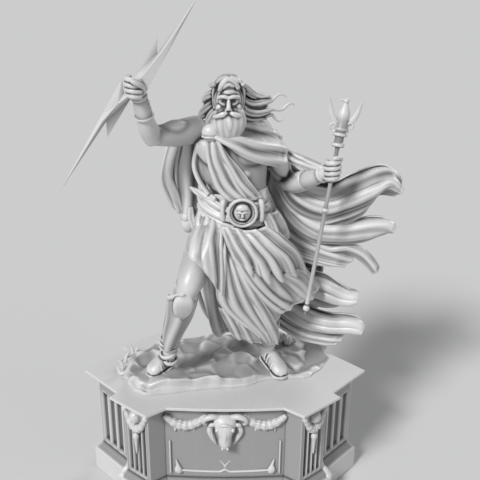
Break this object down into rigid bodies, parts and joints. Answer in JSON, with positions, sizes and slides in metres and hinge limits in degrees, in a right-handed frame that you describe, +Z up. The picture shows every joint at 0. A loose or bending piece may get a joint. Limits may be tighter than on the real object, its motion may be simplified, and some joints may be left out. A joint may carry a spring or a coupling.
{
  "type": "zeus statue",
  "caption": "Cast resin statuette of a bearded, wind-blown thunder god raising a bolt and holding a winged sceptre, on a rocky ground and an ornamented buttressed plinth.",
  "frame": {"origin": "middle of the plinth's underside, on the surface it stands on", "axes": "+Z up, the figure faces -Y, its raised right arm is towards -X and its cloak streams towards +X"},
  "size_m": [0.3014, 0.1532, 0.4763],
  "materials": {
    "cast_resin": "matt light grey cast resin with darker recesses; the material is assumed, because the picture is a plain grey render"
  },
  "bodies": {
    "root": {"plinth": "cast_resin", "zeus_figure": "cast_resin", "lightning_bolt": "cast_resin", "sceptre": "cast_resin"}
  },
  "joints": []
}
